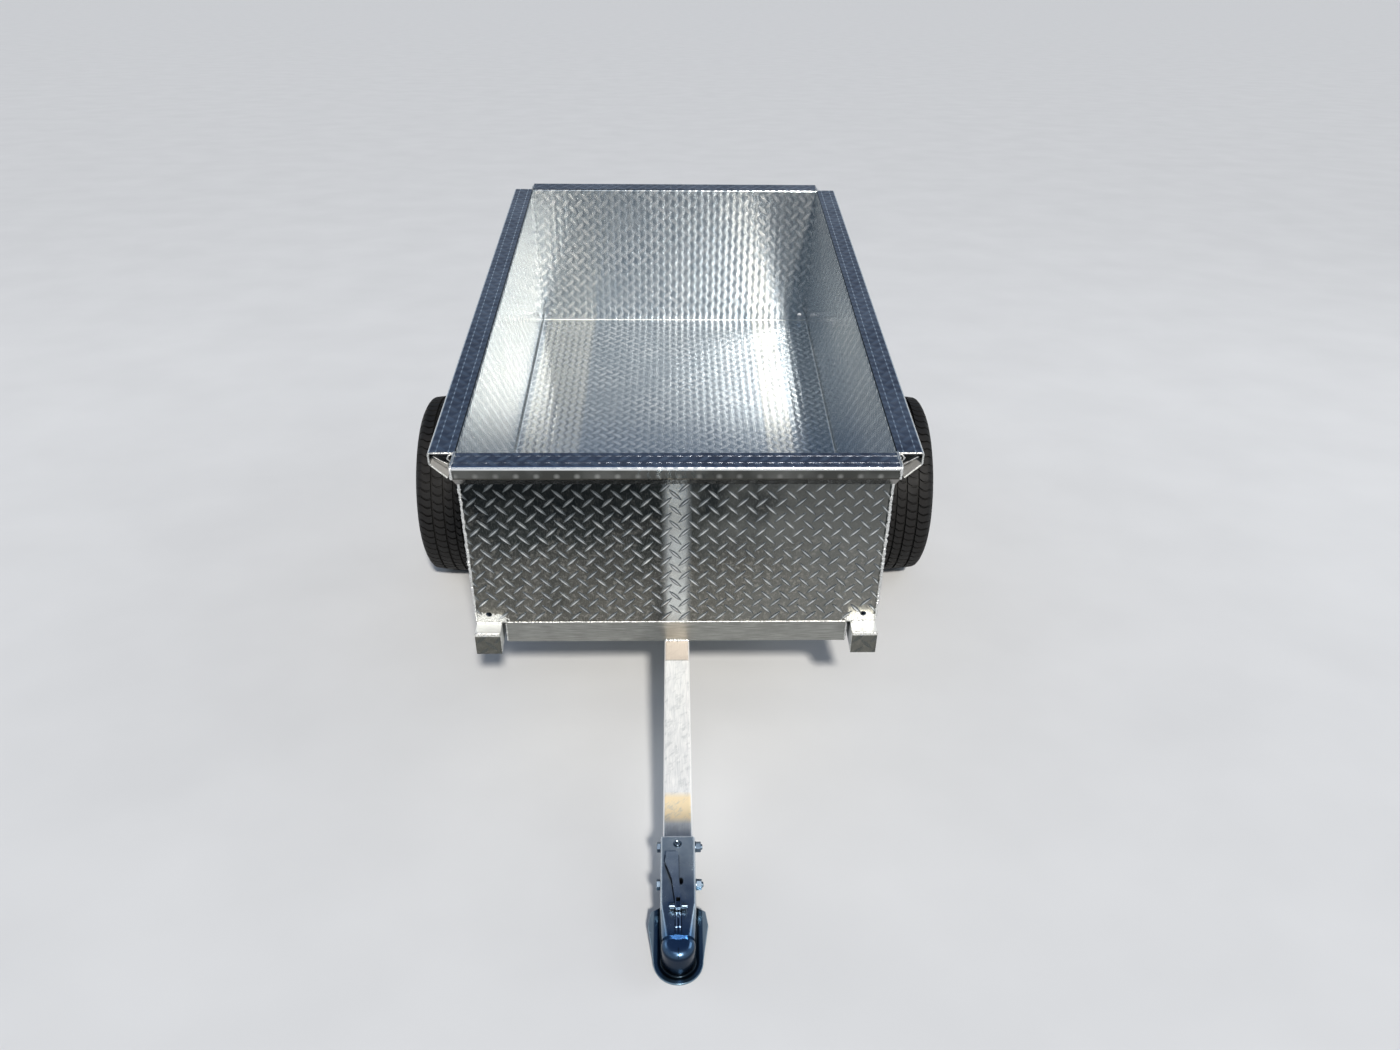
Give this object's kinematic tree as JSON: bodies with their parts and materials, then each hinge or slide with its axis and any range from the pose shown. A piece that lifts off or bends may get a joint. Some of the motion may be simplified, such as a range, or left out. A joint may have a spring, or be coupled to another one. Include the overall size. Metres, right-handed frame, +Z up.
{
  "type": "garden trailer",
  "caption": "Open box trailer folded from aluminium tread plate, with a formed rail, square-tube frame and tongue, ball coupler and two pneumatic wheels, parked nose-down.",
  "frame": {"origin": "on the ground, under the middle of the parked trailer's bounding box", "axes": "+X to the right seen from the front, +Y from the coupler to the rear, +Z up; the trailer stands nose-down on its coupler and tyres"},
  "size_m": [1.2742, 2.165, 0.8831],
  "materials": {
    "tread_plate": "bright rolled tread plate",
    "mill_aluminium": "extruded mill finish, brushed at the welds",
    "zinc_steel": "clear zinc plating on pressed steel",
    "machined_steel": "turned steel",
    "rim_paint": "pale silver paint on pressed steel",
    "tyre_rubber": "moulded tread rubber",
    "valve_rubber": "matt rubber"
  },
  "bodies": {
    "root": {"axle_pad_left": "mill_aluminium", "axle_pad_right": "mill_aluminium", "axle_tube": "mill_aluminium", "ball_clamp": "zinc_steel", "coupler_body": "zinc_steel", "coupler_bolt_front": "zinc_steel", "coupler_bolt_rear": "zinc_steel", "cross_tube_1": "mill_aluminium", "cross_tube_2": "mill_aluminium", "cross_tube_3": "mill_aluminium", "cross_tube_4": "mill_aluminium", "floor_sheet": "tread_plate", "latch_stud": "zinc_steel", "member_end_plates": "tread_plate", "side_member_left": "mill_aluminium", "side_member_right": "mill_aluminium", "spindle_left": "machined_steel", "spindle_right": "machined_steel", "tongue_tube": "mill_aluminium", "wall_front": "tread_plate", "wall_left": "tread_plate", "wall_rear": "tread_plate", "wall_right": "tread_plate"},
    "wheel_left": {"tyre_left": "tyre_rubber", "rim_left": "rim_paint", "hub_left": "machined_steel", "wheel_nuts_left": "zinc_steel", "hub_cap_left": "zinc_steel", "valve_left": "valve_rubber"},
    "wheel_right": {"tyre_right": "tyre_rubber", "rim_right": "rim_paint", "hub_right": "machined_steel", "wheel_nuts_right": "zinc_steel", "hub_cap_right": "zinc_steel", "valve_right": "valve_rubber"},
    "latch": {"latch_lever": "zinc_steel"}
  },
  "joints": [
    {"name": "wheel_left_spin", "type": "hinge", "parent": "root", "child": "wheel_left", "pos_m": [-0.53, 0.35722, 0.2286], "axis": [1, 0, 0], "continuous": true},
    {"name": "wheel_right_spin", "type": "hinge", "parent": "root", "child": "wheel_right", "pos_m": [0.53, 0.35722, 0.2286], "axis": [1, 0, 0], "continuous": true},
    {"name": "latch_lift", "type": "hinge", "parent": "root", "child": "latch", "pos_m": [0, -0.99912, 0.08383], "axis": [1, 0, 0], "range_deg": [0, 75]}
  ]
}
